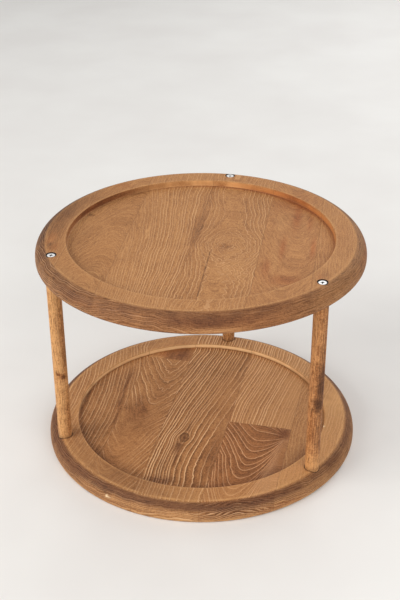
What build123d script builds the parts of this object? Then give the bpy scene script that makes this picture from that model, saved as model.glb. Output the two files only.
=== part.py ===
from build123d import *
import math
import os

# Two-tier round cake stand: two edge-glued wooden trays, held apart by three dowel posts that are screwed from
# above and from below. Millimetres, +Z up, origin on the table under the middle of the stand, rear post on +Y.

# Trays
TRAY_DIAMETER = 300.0
TRAY_THICKNESS = 16.5
TIER_GAP = 177.0  # clear height from the lower rim to the upper tray's underside
RIM_WIDTH = 28.5  # from the outer edge in to the recess
UPPER_RECESS_DEPTH = 6.0
LOWER_RECESS_DEPTH = 4.5
RECESS_LIP_CHAMFER = 0.6
RECESS_FLOOR_FILLET = 1.2
EDGE_ROUND_WIDTH = 10.0  # rounded top outer edge, measured across the rim
EDGE_WALL = 4.0  # height of the edge below the rounded part
BOTTOM_ROUND = 2.0

# Staves that the trays are glued up from
STAVE_WIDTH = 62.0
NARROW_STAVE_WIDTH = 46.0  # in the lower tray, left of its middle stave
UPPER_STAVE_LEAN = 3.5  # degrees from the Y axis, which the lower tray's staves follow
UPPER_SEAM_OFFSET = -6.5  # place of one seam across the upper tray, with a seam at the stave width each side of it
LOWER_SEAM_OFFSET = 29.5  # place of the seam right of the lower tray's middle stave
SEAM_CLEARANCE = 2.0  # from the upper tray's outermost seams to the sockets outside them

# End joints where two lengths of board meet in one stave of the lower tray
BACK_JOINT_INSET = 61.0  # from the tray's back edge, along the stave
FRONT_JOINT_SETBACK = 9.0  # in front of the tray's middle
FINGER_LENGTH = 10.0
FINGER_COUNT = 3  # through the thickness below the recess
FINGER_TIP = 0.5

# Dowel posts
POST_DIAMETER = 13.0
POST_INSET = 12.8  # from the tray's outer edge to the post's axis
POST_END_CHAMFER = 0.5
SOCKET_DEPTH = 5.0
SOCKET_CLEARANCE = 0.3  # each side
POST_NAMES = ("rear", "left", "right")  # evenly spaced, anticlockwise from the +Y axis

# Countersunk wood screws
SCREW_LENGTH = 35.0
SCREW_HEAD_DIAMETER = 7.4
SCREW_HEAD_EDGE = 0.3
SCREW_SHANK_DIAMETER = 3.0
SCREW_SHANK_LENGTH = 12.0
THREAD_DIAMETER = 4.0
THREAD_ROOT_DIAMETER = 2.6
THREAD_PITCH = 1.8
SCREW_POINT_LENGTH = 4.0
SCREW_HEAD_SINK = 0.6  # head's top below the wood
SCREW_CLEARANCE = 0.2  # round the thread in the tray's hole
SEAT_CLEARANCE = 0.05  # under the head and round the thread in the post
PILOT_RUNOUT = 1.0  # post hole beyond the screw's point
CROSS_WIDTH = 4.2
CROSS_FOOT = 1.6
CROSS_SLOT = 0.9
CROSS_DEPTH = 1.7

# Sizes that follow
tray_radius = TRAY_DIAMETER / 2
recess_radius = tray_radius - RIM_WIDTH
upper_base = TRAY_THICKNESS + TIER_GAP
stand_height = upper_base + TRAY_THICKNESS
post_circle_radius = tray_radius - POST_INSET
post_length = TIER_GAP + 2 * SOCKET_DEPTH
socket_radius = POST_DIAMETER / 2 + SOCKET_CLEARANCE
head_radius = SCREW_HEAD_DIAMETER / 2
shank_radius = SCREW_SHANK_DIAMETER / 2
thread_radius = THREAD_DIAMETER / 2
root_radius = THREAD_ROOT_DIAMETER / 2
# a square cone under the head: it drops as far as it draws in
head_bottom = SCREW_HEAD_EDGE + head_radius - shank_radius
tray_web = TRAY_THICKNESS - SOCKET_DEPTH
beyond = TRAY_THICKNESS  # how far cutters run past what they cut


def tray_blank(recess_depth):
    """A whole tray, turned from its half section, standing on z = 0."""
    edge_drop = TRAY_THICKNESS - EDGE_WALL
    edge_chord = math.hypot(EDGE_ROUND_WIDTH, edge_drop)
    edge_pitch = math.atan2(edge_drop, EDGE_ROUND_WIDTH)
    edge_turn = min(edge_pitch, math.pi / 2 - edge_pitch)
    edge_bulge = edge_chord / 2 * math.tan(edge_turn / 2)
    floor = TRAY_THICKNESS - recess_depth
    edge_foot = (tray_radius, EDGE_WALL)
    rim_edge = (tray_radius - EDGE_ROUND_WIDTH, TRAY_THICKNESS)
    lip_top = (recess_radius + RECESS_LIP_CHAMFER, TRAY_THICKNESS)
    lip_foot = (recess_radius, TRAY_THICKNESS - RECESS_LIP_CHAMFER)
    corner = (recess_radius, floor)
    underside = FilletPolyline((0, 0), (tray_radius, 0), edge_foot, radius=[BOTTOM_ROUND])
    edge = SagittaArc(edge_foot, rim_edge, -edge_bulge)
    rim = Polyline(rim_edge, lip_top, lip_foot)
    recess = FilletPolyline(lip_foot, corner, (0, floor), radius=[RECESS_FLOOR_FILLET])
    axis_line = Line((0, floor), (0, 0))
    section = make_face(underside.edges() + edge.edges() + rim.edges() + recess.edges() + axis_line.edges())
    return revolve(Plane.XZ * section, axis=Axis.Z)


def at_posts():
    """The posts' places, by name."""
    places = {}
    for step, name in enumerate(POST_NAMES):
        turn = 2 * math.pi * step / len(POST_NAMES)
        places[name] = (-post_circle_radius * math.sin(turn), post_circle_radius * math.cos(turn))
    return places


def screw_hole():
    """Cutter for a tray: countersink and clearance hole, with the head's top at z = 0 and the shank downwards."""
    seat_radius = head_radius + SEAT_CLEARANCE
    hole_radius = thread_radius + SCREW_CLEARANCE
    # the countersink's square cone, carried on past the surface of the wood
    top = SCREW_HEAD_SINK + beyond
    mouth_radius = seat_radius + SCREW_HEAD_EDGE + top
    cone_foot = -SCREW_HEAD_EDGE - (seat_radius - hole_radius)
    foot = -TRAY_THICKNESS - beyond
    outline = Polyline(
        (0, top),
        (mouth_radius, top),
        (hole_radius, cone_foot),
        (hole_radius, foot),
        (0, foot),
        close=True,
    )
    return revolve(Plane.XZ * make_face(outline.edges()), axis=Axis.Z)


def bored_tray(recess_depth, socket_on_top):
    """A tray with its post sockets and, on its other face, the screws' countersinks."""
    tray = tray_blank(recess_depth)
    socket = Cylinder(socket_radius, SOCKET_DEPTH + beyond)
    for x, y in at_posts().values():
        if socket_on_top:
            tray -= Pos(x, y, tray_web + (SOCKET_DEPTH + beyond) / 2) * socket
            tray -= Pos(x, y, SCREW_HEAD_SINK) * Rot(180, 0, 0) * screw_hole()
        else:
            tray -= Pos(x, y, (SOCKET_DEPTH - beyond) / 2) * socket
            tray -= Pos(x, y, TRAY_THICKNESS - SCREW_HEAD_SINK) * screw_hole()
    return tray


def upper_seams():
    """Places across the upper tray: three at the stave width, and one beside the socket of each front post."""
    lean = math.radians(UPPER_STAVE_LEAN)
    across = {name: x * math.cos(lean) + y * math.sin(lean) for name, (x, y) in at_posts().items()}
    aside = socket_radius + SEAM_CLEARANCE
    inner = [UPPER_SEAM_OFFSET - STAVE_WIDTH, UPPER_SEAM_OFFSET, UPPER_SEAM_OFFSET + STAVE_WIDTH]
    return [across["left"] + aside, *inner, across["right"] - aside]


def lower_seams():
    """Places across the lower tray, each side of its narrow stave, its middle stave and the next one."""
    middle_left = LOWER_SEAM_OFFSET - STAVE_WIDTH
    return [middle_left - NARROW_STAVE_WIDTH, middle_left, LOWER_SEAM_OFFSET, LOWER_SEAM_OFFSET + STAVE_WIDTH]


def lanes_between(seams):
    """Left and right side of each stave, from left to right."""
    sides = [-tray_radius - beyond, *seams, tray_radius + beyond]
    return list(zip(sides, sides[1:]))


def stave(tray, lane):
    """The part of a tray between two seams along the Y axis."""
    left, right = lane
    slab = Box(right - left, 4 * tray_radius, 4 * stand_height)
    return tray & (Pos((left + right) / 2, 0, 0) * slab)


def front_of_joint(lane, place):
    """Cutter that takes a stave's front length: its back face has fingers below the floor of the recess."""
    left, right = lane
    floor = TRAY_THICKNESS - LOWER_RECESS_DEPTH
    pitch = floor / FINGER_COUNT
    points = [(-2 * tray_radius, -beyond), (place, -beyond)]
    for finger in range(FINGER_COUNT):
        low = finger * pitch
        points.append((place, low + FINGER_TIP / 2))
        points.append((place - FINGER_LENGTH, low + (pitch - FINGER_TIP) / 2))
        points.append((place - FINGER_LENGTH, low + (pitch + FINGER_TIP) / 2))
        points.append((place, low + pitch - FINGER_TIP / 2))
    points.append((place, TRAY_THICKNESS + beyond))
    points.append((-2 * tray_radius, TRAY_THICKNESS + beyond))
    outline = Polyline(*points, close=True)
    wedge = extrude(Plane.YZ * make_face(outline.edges()), amount=right - left)
    return Pos(left, 0, 0) * wedge


def upper_staves():
    # cut with the staves along the Y axis, then turned into place
    turn = Rot(0, 0, UPPER_STAVE_LEAN)
    tray = turn.inverse() * Pos(0, 0, upper_base) * bored_tray(UPPER_RECESS_DEPTH, socket_on_top=False)
    lanes = lanes_between(upper_seams())
    return {f"upper_tray_stave_{number}": turn * stave(tray, lane) for number, lane in enumerate(lanes, start=1)}


def lower_staves():
    tray = bored_tray(LOWER_RECESS_DEPTH, socket_on_top=True)
    # the staves beside the middle one are each of two lengths, end to end
    joints = {2: tray_radius - BACK_JOINT_INSET, 4: -FRONT_JOINT_SETBACK}
    nodes = {}
    for number, lane in enumerate(lanes_between(lower_seams()), start=1):
        name = f"lower_tray_stave_{number}"
        piece = stave(tray, lane)
        if number in joints:
            front = front_of_joint(lane, joints[number])
            nodes[f"{name}_front"] = piece & front
            nodes[f"{name}_back"] = piece - front
        else:
            nodes[name] = piece
    return nodes


def post():
    """A dowel with a screw hole in each end, standing on z = 0."""
    dowel = Pos(0, 0, post_length / 2) * Cylinder(POST_DIAMETER / 2, post_length)
    dowel = chamfer(dowel.edges().filter_by(GeomType.CIRCLE), POST_END_CHAMFER)
    depth = SCREW_LENGTH + SCREW_HEAD_SINK - tray_web + PILOT_RUNOUT
    pilot = Cylinder(thread_radius + SEAT_CLEARANCE, depth)
    for middle in (depth / 2, post_length - depth / 2):
        dowel -= Pos(0, 0, middle) * pilot
    return dowel


def cross_recess():
    """Cutter for the driver's cross: two tapered slots from z = 0 down."""
    blade = Polyline(
        (-CROSS_WIDTH / 2, 0),
        (CROSS_WIDTH / 2, 0),
        (CROSS_FOOT / 2, -CROSS_DEPTH),
        (-CROSS_FOOT / 2, -CROSS_DEPTH),
        close=True,
    )
    slot = extrude(Plane.XZ * make_face(blade.edges()), amount=CROSS_SLOT / 2, both=True)
    return slot + Rot(0, 0, 90) * slot


def screw():
    """A countersunk screw with its head's top at z = 0, pointing down, its thread drawn as even ridges."""
    thread_top = -head_bottom - SCREW_SHANK_LENGTH
    point_top = -SCREW_LENGTH + SCREW_POINT_LENGTH
    turns = math.floor((thread_top - point_top) / THREAD_PITCH)
    outline = [(0, 0), (head_radius, 0), (head_radius, -SCREW_HEAD_EDGE), (shank_radius, -head_bottom)]
    outline.append((shank_radius, thread_top))
    for turn in range(turns):
        top = thread_top - turn * THREAD_PITCH
        outline.append((root_radius, top))
        outline.append((thread_radius, top - THREAD_PITCH / 2))
    outline.append((root_radius, thread_top - turns * THREAD_PITCH))
    outline.append((root_radius, point_top))
    outline.append((0, -SCREW_LENGTH))
    profile = Polyline(*outline, close=True)
    return revolve(Plane.XZ * make_face(profile.edges()), axis=Axis.Z) - cross_recess()


def posts_and_screws():
    nodes = {}
    dowel = post()
    fastener = screw()
    for name, (x, y) in at_posts().items():
        nodes[f"{name}_post"] = Pos(x, y, tray_web) * dowel
        nodes[f"upper_screw_{name}"] = Pos(x, y, stand_height - SCREW_HEAD_SINK) * fastener
        nodes[f"lower_screw_{name}"] = Pos(x, y, SCREW_HEAD_SINK) * Rot(180, 0, 0) * fastener
    return nodes


os.makedirs("parts", exist_ok=True)
stand = {**upper_staves(), **lower_staves(), **posts_and_screws()}
for node, shape in stand.items():
    export_step(shape, f"parts/{node}.step")
    print(node, round(shape.volume, 1))
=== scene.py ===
import math
from dataclasses import dataclass

import bmesh
import bpy
import numpy as np
from mathutils import Color, Matrix, Vector


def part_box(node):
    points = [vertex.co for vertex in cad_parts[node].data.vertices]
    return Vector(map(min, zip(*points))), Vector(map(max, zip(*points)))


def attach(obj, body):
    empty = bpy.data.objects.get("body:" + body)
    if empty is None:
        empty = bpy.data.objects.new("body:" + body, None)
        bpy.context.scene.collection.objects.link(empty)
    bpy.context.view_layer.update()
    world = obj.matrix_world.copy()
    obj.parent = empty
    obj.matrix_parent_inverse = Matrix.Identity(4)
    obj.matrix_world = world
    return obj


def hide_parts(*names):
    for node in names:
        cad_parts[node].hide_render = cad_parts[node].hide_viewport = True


# The looks of a two-tier round cake stand: trays of edge-glued, brown-stained softwood on three dowel posts.
# Lengths are in millimetres until a mesh is written, which is in metres as the frame is.
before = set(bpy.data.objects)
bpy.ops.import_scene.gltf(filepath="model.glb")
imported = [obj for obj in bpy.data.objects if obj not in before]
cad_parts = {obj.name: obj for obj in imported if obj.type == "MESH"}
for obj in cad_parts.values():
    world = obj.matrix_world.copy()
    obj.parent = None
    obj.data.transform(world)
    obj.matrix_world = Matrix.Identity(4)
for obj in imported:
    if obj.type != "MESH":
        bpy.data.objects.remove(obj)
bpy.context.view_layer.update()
MM = 0.001
QUARTER = math.pi / 2
TURN = 2 * math.pi
FAR = 99.0  # the distance given where there is no seam, crack or hole


def tiers(upper, lower):
    """A value for each tray."""
    return {"upper": upper, "lower": lower}


# Camera, from the outlines of both trays in the picture
CAMERA_AZIMUTH = math.radians(12.6)
CAMERA_REACH = 877.8
CAMERA_HEIGHT = 637.3
CAMERA_PITCH = 0.5148
CAMERA_SWING = 0.00125
CAMERA_ROLL = -0.00485
CAMERA_LENS = 64.56
CAMERA_SENSOR = 36.0

# Trays
TRAY_RADIUS = 150.0
TRAY_THICKNESS = 16.5
RIM_WIDTH = 28.5
RECESS_RADIUS = TRAY_RADIUS - RIM_WIDTH
RECESS_DEPTH = tiers(6.0, 4.5)
EDGE_ROUND_WIDTH = 10.0
RIM_EDGE = TRAY_RADIUS - EDGE_ROUND_WIDTH
EDGE_WALL = 4.0
BOTTOM_ROUND = 2.0
LIP_ROUND = 0.6
FLOOR_FILLET = 1.2

# Staves: seams are places across a tray, joints are places along it
STAVE_LEAN = tiers(math.radians(3.5), 0.0)
STAVE_WIDTH = 62.0
NARROW_STAVE_WIDTH = 46.0
UPPER_SEAM = -6.5
LOWER_SEAM = 29.5
LOWER_MIDDLE = LOWER_SEAM - STAVE_WIDTH
SOCKET_SEAMS = (-114.0, 105.6)  # beside the sockets of the upper tray's front posts
SEAMS = tiers(
    (SOCKET_SEAMS[0], UPPER_SEAM - STAVE_WIDTH, UPPER_SEAM, UPPER_SEAM + STAVE_WIDTH, SOCKET_SEAMS[1]),
    (LOWER_MIDDLE - NARROW_STAVE_WIDTH, LOWER_MIDDLE, LOWER_SEAM, LOWER_SEAM + STAVE_WIDTH),
)
BACK_JOINT = 89.0
FRONT_JOINT = -9.0

# Posts and screws
POST_RADIUS = 6.5
SOCKET_RADIUS = 6.8
SOCKET_DEPTH = 5.0
POST_END_ROUND = 0.5
HEAD_SEAT_RADIUS = 4.65
HEAD_SEAT_DEPTH = 2.45
SCREW_HOLE_RADIUS = 2.2
BEYOND = 3.0  # how far cutters reach out of the wood
HOLE_ABOVE = tiers(HEAD_SEAT_RADIUS, SOCKET_RADIUS)
HOLE_BELOW = tiers(SOCKET_RADIUS, HEAD_SEAT_RADIUS)

# Fineness of the meshes
RING_STEPS = 480  # round a tray
ROUND_STEPS = 64  # round a post or a hole
EDGE_STEPS = 14
BOTTOM_STEPS = 5
LIP_STEPS = 4
POST_END_STEPS = 3
FACE_STEP = 1.0
UNDERSIDE_STEP = 6.0
RIM_EDGE_STEP = 0.25  # a narrow ring that keeps the shading at the rim's edge
WELD = 0.003
SHARP_ANGLE = math.radians(32.0)

# Undersides of the trays and middles of the posts, from the CAD nodes
TRAY_BASE = {tier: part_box(f"{tier}_tray_stave_3")[0].z / MM for tier in ("upper", "lower")}
POST_PLACES = {name: sum(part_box(f"{name}_post"), Vector()) / 2 / MM for name in ("left", "right", "rear")}


# Shader nodes

class Shader:
    """A material's node tree, with short calls for the nodes used here."""

    def __init__(self, name):
        self.material = bpy.data.materials.new(name)
        self.material.use_nodes = True
        self.tree = self.material.node_tree
        self.surface = self.tree.nodes["Principled BSDF"]

    def join(self, value, socket):
        if isinstance(value, bpy.types.NodeSocket):
            self.tree.links.new(value, socket)
        else:
            socket.default_value = value

    def set(self, name, value):
        self.join(value, self.surface.inputs[name])

    def node(self, kind, inputs=(), output=0, **settings):
        """Adds a node, with (socket, value) inputs, and gives one of its outputs."""
        made = self.tree.nodes.new(kind)
        for key, value in settings.items():
            setattr(made, key, value)
        for socket, value in inputs:
            self.join(value, made.inputs[socket])
        return made.outputs[output]

    def split(self, vector):
        return self.node("ShaderNodeSeparateXYZ", [(0, vector)]).node.outputs

    def attribute(self, name):
        """The three parts of a vector that the mesh carries."""
        return self.split(self.node("ShaderNodeAttribute", output="Vector", attribute_name=name))

    def math(self, operation, *values):
        return self.node("ShaderNodeMath", enumerate(values), operation=operation)

    def fold(self, operation, first, *others):
        """An operation on two values, taken on all of them in turn."""
        for other in others:
            first = self.math(operation, first, other)
        return first

    def times(self, *values):
        return self.fold("MULTIPLY", *values)

    def plus(self, *values):
        return self.fold("ADD", *values)

    def minus(self, a, b):
        return self.math("SUBTRACT", a, b)

    def length(self, a, b):
        return self.math("SQRT", self.plus(self.times(a, a), self.times(b, b)))

    def capped(self, value):
        return self.math("MINIMUM", value, 1.0)

    def total(self, *layers, start=0.0):
        """A start with (texture, strength) layers added to it, the last one first."""
        for texture, strength in reversed(layers):
            start = self.math("MULTIPLY_ADD", texture, strength, start)
        return start

    def centred(self, *layers):
        """A total of textures that lie about 0.5, moved to lie about 0."""
        return self.total(*layers, start=-0.5 * sum(strength for texture, strength in layers))

    def fade(self, value, start, end):
        """0 at start, 1 at end, smooth between and clamped outside."""
        inputs = [("Value", value), ("From Min", start), ("From Max", end)]
        return self.node("ShaderNodeMapRange", inputs, interpolation_type="SMOOTHSTEP")

    def noise(self, vector, detail, scale=1.0):
        return self.node("ShaderNodeTexNoise", [("Vector", vector), ("Scale", scale), ("Detail", detail)])

    def stretched(self, parts, scales, detail):
        """Noise with a scale of its own along each of three parts."""
        parts = [self.times(part, scale) for part, scale in zip(parts, scales)]
        return self.noise(self.node("ShaderNodeCombineXYZ", enumerate(parts)), detail)

    def random(self, value):
        return self.node("ShaderNodeTexWhiteNoise", [("W", value)], output="Value", noise_dimensions="1D")

    def ramp(self, value, *stops):
        made = self.node("ShaderNodeValToRGB", [(0, value)])
        elements = made.node.color_ramp.elements
        while len(elements) < len(stops):
            elements.new(0.5)
        for element, (place, shade) in zip(elements, stops):
            element.position = place
            element.color = shade
        return made

    def mix(self, factor, first, second, blend="MIX"):
        inputs = [(0, factor), (6, first), (7, second)]
        return self.node("ShaderNodeMix", inputs, output=2, data_type="RGBA", blend_type=blend)

    def bump(self, height, strength, distance):
        inputs = [("Height", height), ("Strength", strength), ("Distance", distance)]
        self.set("Normal", self.node("ShaderNodeBump", inputs))


def colour(red, green, blue):
    """Linear colour from the 0 to 255 values that a picture shows."""
    return (*Color((red / 255, green / 255, blue / 255)).from_srgb_to_scene_linear(), 1.0)


# Wood material
# texture scales across the rings, along the grain and into the depth
RING_WAVES = (0.4, 0.05, 0.12)
RING_TEARS = (2.5, 0.35, 1.0)
RING_FADING = (3.7, 0.03, 0.0)
COARSE_FIBRES = (3.5, 0.09, 1.2)
FINE_FIBRES = (13.0, 0.40, 4.0)
PORES = (8.0, 0.22, 3.0)
EDGE_STREAKS = (34.0, 34.0, 720.0)  # sideways, onwards and outwards
PATCH_SCALE = 75.0  # without grain
MIDDLE_TONE = 0.51
EARLY_TONE = -0.50
REDDENING = (0.90, 0.66, 0.56, 1.0)
SEAM_DARKNESS = 0.45
CRACK_DARKNESS = 0.75
CRACK_COLOUR = colour(88, 54, 32)
CHIP_COLOUR = colour(247, 219, 178)
# painted shade in the gaps round posts and screw heads
GAP_SHADE_COLOUR = colour(22, 15, 11)


def growth_lines(sh, grain, density, line_width):
    """Late wood in pale lines that rise slowly and end sharply, each of its own strength, and early wood."""
    rings, along, depth = grain
    waves = sh.stretched(grain, RING_WAVES, detail=2.0)
    tears = sh.stretched(grain, RING_TEARS, detail=2.0)
    shifted = sh.total((waves, 0.3), (tears, 0.24), start=rings)
    year = sh.math("FLOOR", shifted)
    share = sh.math("FRACT", shifted)
    fading = sh.stretched((year, along, depth), RING_FADING, detail=1.0)
    strength = sh.total((sh.random(year), 0.60), start=fading)
    # in millimetres before the ring's end
    inward = sh.math("DIVIDE", sh.minus(1.0, share), density)
    rising = sh.fade(inward, start=1.5 * line_width, end=0.5 * line_width)
    falling = sh.fade(inward, start=0.0, end=0.30 * line_width)
    return sh.times(rising, falling, strength), sh.fade(share, start=0.50, end=0.0)


def wood_material(name, dark, middle, light, line, stained, worn, bare, line_width=1.0, pore=0.30,
                  pore_size=1.0, pore_length=1.0, mottle=0.40, mottle_scale=26.0, grit=1.05,
                  grit_scale=800.0):
    """Brushed, stained softwood. The meshes carry the growth rings (grain), tone, redness with painted warm
    shade on the recess walls, and line contrast (board), soaked-in stain with painted shade, pale wear with a
    painted highlight, and seams (finish), how close the rings lie, cracks and the tray's round edge (figure),
    and painted shade in hole gaps, chips and painted light on recess walls (marks). This adds lines, fibres
    and pores."""
    sh = Shader(name)
    grain = sh.attribute("grain")
    tone, redness, contrast = sh.attribute("board")
    stain_and_shade, wear_and_highlight, seam = sh.attribute("finish")
    density, crack, side = sh.attribute("figure")
    hole, chip, wall = sh.attribute("marks")

    # textures along the grain, without grain, and in streaks round the tray
    late, early = growth_lines(sh, grain, density, line_width)
    lines = sh.times(late, contrast)
    coarse = sh.stretched(grain, COARSE_FIBRES, detail=3.0)
    fine = sh.stretched(grain, FINE_FIBRES, detail=3.0)
    pore_scales = [scale / size for scale, size in zip(PORES, (pore_size, pore_length, pore_size))]
    pores = sh.fade(sh.stretched(grain, pore_scales, detail=1.0), start=0.58, end=0.68)
    place = sh.node("ShaderNodeTexCoord", output="Object")
    blotch = sh.noise(place, detail=3.0, scale=mottle_scale)
    patches = sh.noise(place, detail=2.0, scale=PATCH_SCALE)
    speckle = sh.noise(place, detail=2.0, scale=grit_scale)
    x, y, z = sh.split(place)
    streak = sh.stretched((x, y, sh.minus(z, sh.length(x, y))), EDGE_STREAKS, detail=3.0)

    # the wood itself
    body = sh.centred((speckle, grit), (coarse, 0.95), (fine, 0.75), (blotch, mottle))
    body = sh.plus(body, tone, MIDDLE_TONE, sh.times(early, contrast, contrast, EARLY_TONE))
    body = sh.plus(body, sh.times(side, sh.centred((coarse, 0.9), (streak, 1.3))))
    base = sh.ramp(body, (0.05, dark), (0.50, middle), (0.95, light))
    base = sh.mix(sh.capped(lines), base, line)
    base = sh.mix(sh.times(pores, pore), base, dark)
    base = sh.mix(redness, base, REDDENING, "MULTIPLY")

    # stain and painted shade, wear and a painted highlight, and marks with painted light and shade
    uneven = sh.total((patches, 1.1), (streak, 1.2), start=-0.25)
    base = sh.mix(sh.capped(sh.times(stain_and_shade, sh.math("MAXIMUM", uneven, 0.0))), base, stained, "MULTIPLY")
    base = sh.mix(sh.capped(sh.times(wear_and_highlight, sh.fade(patches, start=0.20, end=0.75))), base, worn)
    # painted light on the recess walls: warm bounce light on the upper tray, a highlight on the lower
    base = sh.mix(sh.times(wall, sh.total((streak, 0.9), (patches, 1.2), start=-0.35)), base, bare)
    glue = sh.fade(seam, start=0.40, end=0.05)
    base = sh.mix(sh.times(glue, SEAM_DARKNESS), base, dark)
    broken = sh.fade(coarse, start=0.30, end=0.60)
    split = sh.times(sh.fade(sh.math("ABSOLUTE", crack), start=0.95, end=0.15), broken)
    base = sh.mix(sh.times(split, CRACK_DARKNESS), base, CRACK_COLOUR)
    base = sh.mix(sh.capped(chip), base, CHIP_COLOUR)
    # painted shade in the gaps round posts and screw heads
    base = sh.mix(sh.fade(hole, start=0.60, end=0.10), base, GAP_SHADE_COLOUR)

    sh.set("Base Color", base)
    sh.set("Roughness", sh.total((coarse, 0.16), (lines, -0.10), start=0.56))
    sh.set("Specular IOR Level", 0.22)
    relief = sh.total((glue, -0.5), (pores, -0.25), (lines, 0.7), (coarse, 0.35), (fine, 0.4))
    sh.bump(relief, strength=0.6, distance=0.35 * MM)
    return sh.material


# Screw heads
# painted shade round a head's rim and in its cross recess
HEAD_RADIUS = 3.7 * MM
HEAD_BRIGHT_RADIUS = 3.35 * MM
CROSS_RADIUS = 0.6 * MM
CROSS_REACH = 1.4 * MM
HEAD_SHADOW = colour(22, 19, 17)
SCRATCHES = (9000.0, 700.0, 700.0)


def zinc_material(faces, axes):
    """Bright, scratched zinc plate on the heads' flat faces, at the given heights and axes; painted shade in
    the cross recesses, round the heads' rims and below the faces."""
    sh = Shader("zinc_plate")
    place = sh.node("ShaderNodeNewGeometry", output="Position")
    x, y, height = sh.split(place)
    scratch = sh.stretched((x, y, height), SCRATCHES, detail=2.0)
    cloud = sh.noise(place, detail=3.0, scale=900.0)
    plate = sh.ramp(cloud, (0.3, colour(226, 227, 229)), (0.7, colour(250, 250, 250)))
    off_faces = [sh.math("ABSOLUTE", sh.minus(height, face * MM)) for face in faces]
    off_axes = [sh.length(sh.minus(x, axis.x * MM), sh.minus(y, axis.y * MM)) for axis in axes]
    on_face = sh.fade(sh.fold("MINIMUM", *off_faces), start=0.30 * MM, end=0.10 * MM)
    reach = sh.fold("MINIMUM", *off_axes)
    inside = sh.fade(reach, HEAD_RADIUS, HEAD_BRIGHT_RADIUS)
    bright = sh.times(on_face, inside, sh.fade(reach, CROSS_RADIUS, CROSS_REACH))
    sh.set("Base Color", sh.mix(bright, HEAD_SHADOW, plate))
    sh.set("Metallic", sh.times(bright, 0.45))
    sh.set("Specular IOR Level", sh.times(bright, 0.5))
    sh.set("Roughness", sh.total((scratch, 0.2), start=0.34))
    sh.bump(scratch, strength=0.15, distance=0.03 * MM)
    return sh.material


def floor_material():
    """Plain pale floor with a faint mottle."""
    sh = Shader("pale_floor")
    mottle = sh.noise(sh.node("ShaderNodeTexCoord", output="Object"), detail=3.0, scale=6.0)
    sh.set("Base Color", sh.ramp(mottle, (0.3, colour(228, 226, 224)), (0.7, colour(234, 233, 231))))
    sh.set("Roughness", 0.6)
    return sh.material


# Tray shape

def arc(centre, radius, start, end, steps):
    """Points of an arc, at angles from outward."""
    angles = np.linspace(start, end, steps + 1)
    return [(centre[0] + radius * math.cos(a), centre[1] + radius * math.sin(a)) for a in angles]


def straight(start, end, step):
    """Points from start up to, and without, end."""
    count = max(1, round(math.dist(start, end) / step))
    return [tuple(np.add(start, np.subtract(end, start) * (k / count))) for k in range(count)]


def tray_section(recess_depth):
    """Half section of a tray: from the middle of the underside, round the edge, to the recess's middle."""
    floor = TRAY_THICKNESS - recess_depth
    drop = TRAY_THICKNESS - EDGE_WALL
    edge_radius = (EDGE_ROUND_WIDTH ** 2 + drop ** 2) / (2 * EDGE_ROUND_WIDTH)
    edge_centre = (TRAY_RADIUS - edge_radius, EDGE_WALL)
    edge_turn = math.atan2(drop, edge_radius - EDGE_ROUND_WIDTH)
    bottom_centre = (TRAY_RADIUS - BOTTOM_ROUND, BOTTOM_ROUND)
    lip_centre = (RECESS_RADIUS + LIP_ROUND, TRAY_THICKNESS - LIP_ROUND)
    fillet_centre = (RECESS_RADIUS - FLOOR_FILLET, floor + FLOOR_FILLET)
    section = straight((0.0, 0.0), (bottom_centre[0], 0.0), UNDERSIDE_STEP)
    section += arc(bottom_centre, BOTTOM_ROUND, -QUARTER, 0.0, BOTTOM_STEPS)
    section += arc(edge_centre, edge_radius, 0.0, edge_turn, EDGE_STEPS)[:-1]
    rim_start = (RIM_EDGE - RIM_EDGE_STEP, TRAY_THICKNESS)
    section += [(RIM_EDGE, TRAY_THICKNESS), rim_start]
    section += straight(rim_start, (lip_centre[0], TRAY_THICKNESS), FACE_STEP)[1:]
    section += arc(lip_centre, LIP_ROUND, QUARTER, 2 * QUARTER, LIP_STEPS)
    section += straight((RECESS_RADIUS, lip_centre[1]), (RECESS_RADIUS, fillet_centre[1]), FACE_STEP)[1:]
    section += arc(fillet_centre, FLOOR_FILLET, 0.0, -QUARTER, LIP_STEPS)
    section += straight((fillet_centre[0], floor), (0.0, floor), FACE_STEP)[1:]
    section.append((0.0, floor))
    return section


def turned(section, steps, base=0.0):
    """A closed bmesh: a section with its ends on the Z axis, turned about it."""
    bm = bmesh.new()
    angles = [TURN * k / steps for k in range(steps)]
    loops = []
    for r, z in section:
        if r == 0.0:
            loops.append([bm.verts.new((0.0, 0.0, z + base))] * steps)
        else:
            loops.append([bm.verts.new((r * math.cos(a), r * math.sin(a), z + base)) for a in angles])
    for lower, upper in zip(loops, loops[1:]):
        for k in range(steps):
            n = (k + 1) % steps
            # three corners where a loop is one point of the axis
            bm.faces.new(tuple(dict.fromkeys((lower[k], lower[n], upper[n], upper[k]))))
    bmesh.ops.recalc_face_normals(bm, faces=bm.faces)
    return bm


def mesh_of(bm, name):
    mesh = bpy.data.meshes.new(name)
    bm.to_mesh(mesh)
    bm.free()
    return mesh


def add_object(name, data):
    made = bpy.data.objects.new(name, data)
    bpy.context.scene.collection.objects.link(made)
    return made


def bored(mesh, cutters):
    """A mesh with the cutters taken out of it."""
    body = add_object("bored", mesh)
    tool = add_object("cutters", cutters)
    cut = body.modifiers.new("cut", "BOOLEAN")
    cut.operation = "DIFFERENCE"
    cut.solver = "EXACT"
    cut.object = tool
    depsgraph = bpy.context.evaluated_depsgraph_get()
    result = bpy.data.meshes.new_from_object(body.evaluated_get(depsgraph))
    bpy.data.objects.remove(body)
    bpy.data.objects.remove(tool)
    return result


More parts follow.
